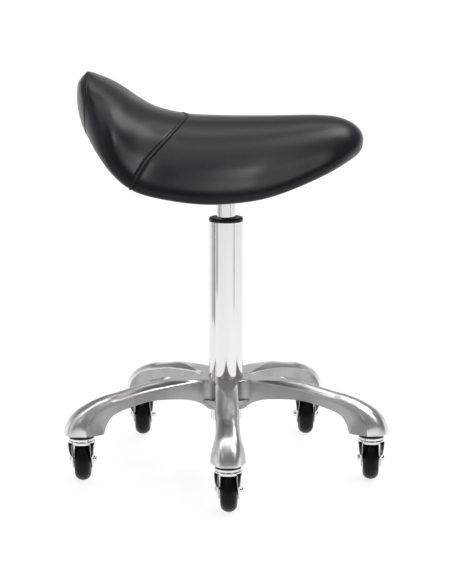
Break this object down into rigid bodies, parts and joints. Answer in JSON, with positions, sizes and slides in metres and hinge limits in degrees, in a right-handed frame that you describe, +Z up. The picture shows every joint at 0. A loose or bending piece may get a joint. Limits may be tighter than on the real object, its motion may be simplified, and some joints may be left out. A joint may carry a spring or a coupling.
{
  "type": "saddle stool",
  "caption": "Height adjustable saddle stool: padded saddle seat with a raised back edge on a chromed gas lift column, over a polished cast star base with swivel casters.",
  "frame": {"origin": "on the floor, on the axis of the column", "axes": "+Z up along the column, +X towards the narrow front end of the seat, which the sitter faces, +Y to the sitter's left, where the release lever is"},
  "size_m": [0.4656, 0.4834, 0.5929],
  "materials": {
    "cast_aluminium": "polished cast aluminium",
    "chrome": "bright chrome plating on steel",
    "steel": "zinc plated steel",
    "black_steel": "black powder coat on pressed steel",
    "black_plastic": "black moulded plastic",
    "black_rubber": "black rubber",
    "tyre": "black soft rolling tread",
    "leather": "smooth black leather, semi gloss",
    "leather_seam": "folded and topstitched leather seam",
    "dust_cloth": "black bonded cloth",
    "foam": "moulded polyurethane foam",
    "plywood": "moulded plywood"
  },
  "bodies": {
    "base": {"star_base": "cast_aluminium", "outer_tube": "chrome", "guide_bushing": "black_plastic", "tube_end_disc": "steel", "thrust_race_lower": "steel", "thrust_ball_ring": "steel", "caster_stem_1": "chrome", "caster_stem_2": "chrome", "caster_stem_3": "chrome", "caster_stem_4": "chrome", "caster_stem_5": "chrome"},
    "lift_rod": {"piston_rod": "steel", "piston": "steel", "thrust_race_upper": "steel", "bump_stop": "black_rubber", "retaining_clip": "steel"},
    "seat_lift": {"gas_cylinder": "chrome", "seat_bracket": "black_steel", "lever_pin": "steel", "seat_bolt_1": "steel", "seat_bolt_2": "steel", "seat_bolt_3": "steel", "seat_bolt_4": "steel", "tee_nut_1": "steel", "tee_nut_2": "steel", "tee_nut_3": "steel", "tee_nut_4": "steel", "seat_board": "plywood", "foam_core": "foam", "cover_front_panel": "leather", "cover_cantle_panel": "leather", "cover_rear_panel": "leather", "underside_dust_cover": "dust_cloth", "cross_seam_strip": "leather_seam", "rear_seam_strip": "leather_seam"},
    "lever": {"release_lever": "black_steel", "lever_grip": "black_plastic"},
    "valve_button": {"release_button": "black_plastic"},
    "caster_1": {"caster_fork_1": "chrome", "axle_set_1": "chrome"},
    "wheel_1": {"caster_tyre_1": "tyre", "wheel_hub_1": "black_plastic"},
    "caster_2": {"caster_fork_2": "chrome", "axle_set_2": "chrome"},
    "wheel_2": {"caster_tyre_2": "tyre", "wheel_hub_2": "black_plastic"},
    "caster_3": {"caster_fork_3": "chrome", "axle_set_3": "chrome"},
    "wheel_3": {"caster_tyre_3": "tyre", "wheel_hub_3": "black_plastic"},
    "caster_4": {"caster_fork_4": "chrome", "axle_set_4": "chrome"},
    "wheel_4": {"caster_tyre_4": "tyre", "wheel_hub_4": "black_plastic"},
    "caster_5": {"caster_fork_5": "chrome", "axle_set_5": "chrome"},
    "wheel_5": {"caster_tyre_5": "tyre", "wheel_hub_5": "black_plastic"}
  },
  "joints": [
    {"name": "seat_swivel", "type": "hinge", "parent": "base", "child": "lift_rod", "pos_m": [0, 0, 0.0925], "axis": [0, 0, 1], "continuous": true},
    {"name": "height_slide", "type": "slide", "parent": "lift_rod", "child": "seat_lift", "axis": [0, 0, 1], "range_m": [0, 0.2]},
    {"name": "lever_tilt", "type": "hinge", "parent": "seat_lift", "child": "lever", "pos_m": [0, 0.02, 0.452], "axis": [1, 0, 0], "range_deg": [0, 4], "stiffness_Nm_per_rad": 1, "springref_deg": -5.73},
    {"name": "button_press", "type": "slide", "parent": "seat_lift", "child": "valve_button", "axis": [0, 0, 1], "range_m": [-0.0018, 0]},
    {"name": "caster_swivel_1", "type": "hinge", "parent": "base", "child": "caster_1", "pos_m": [0, -0.22, 0.069], "axis": [0, 0, 1], "continuous": true},
    {"name": "wheel_roll_1", "type": "hinge", "parent": "caster_1", "child": "wheel_1", "pos_m": [0.0017, -0.19005, 0.0315], "axis": [0.9984, -0.0565, 0], "continuous": true},
    {"name": "caster_swivel_2", "type": "hinge", "parent": "base", "child": "caster_2", "pos_m": [0.20923, -0.06798, 0.069], "axis": [0, 0, 1], "continuous": true},
    {"name": "wheel_roll_2", "type": "hinge", "parent": "caster_2", "child": "wheel_2", "pos_m": [0.2113, -0.03806, 0.0315], "axis": [0.9976, -0.0691, 0], "continuous": true},
    {"name": "caster_swivel_3", "type": "hinge", "parent": "base", "child": "caster_3", "pos_m": [0.12931, 0.17798, 0.069], "axis": [0, 0, 1], "continuous": true},
    {"name": "wheel_roll_3", "type": "hinge", "parent": "caster_3", "child": "wheel_3", "pos_m": [0.12875, 0.20798, 0.0315], "axis": [0.9998, 0.0188, 0], "continuous": true},
    {"name": "caster_swivel_4", "type": "hinge", "parent": "base", "child": "caster_4", "pos_m": [-0.12931, 0.17798, 0.069], "axis": [0, 0, 1], "continuous": true},
    {"name": "wheel_roll_4", "type": "hinge", "parent": "caster_4", "child": "wheel_4", "pos_m": [-0.12875, 0.20798, 0.0315], "axis": [0.9998, -0.0188, 0], "continuous": true},
    {"name": "caster_swivel_5", "type": "hinge", "parent": "base", "child": "caster_5", "pos_m": [-0.20923, -0.06798, 0.069], "axis": [0, 0, 1], "continuous": true},
    {"name": "wheel_roll_5", "type": "hinge", "parent": "caster_5", "child": "wheel_5", "pos_m": [-0.20923, -0.03798, 0.0315], "axis": [1, 0, 0], "continuous": true}
  ],
  "couplings": [
    {"joint": "button_press", "follows": "lever_tilt", "m_per_rad": -0.0245}
  ]
}
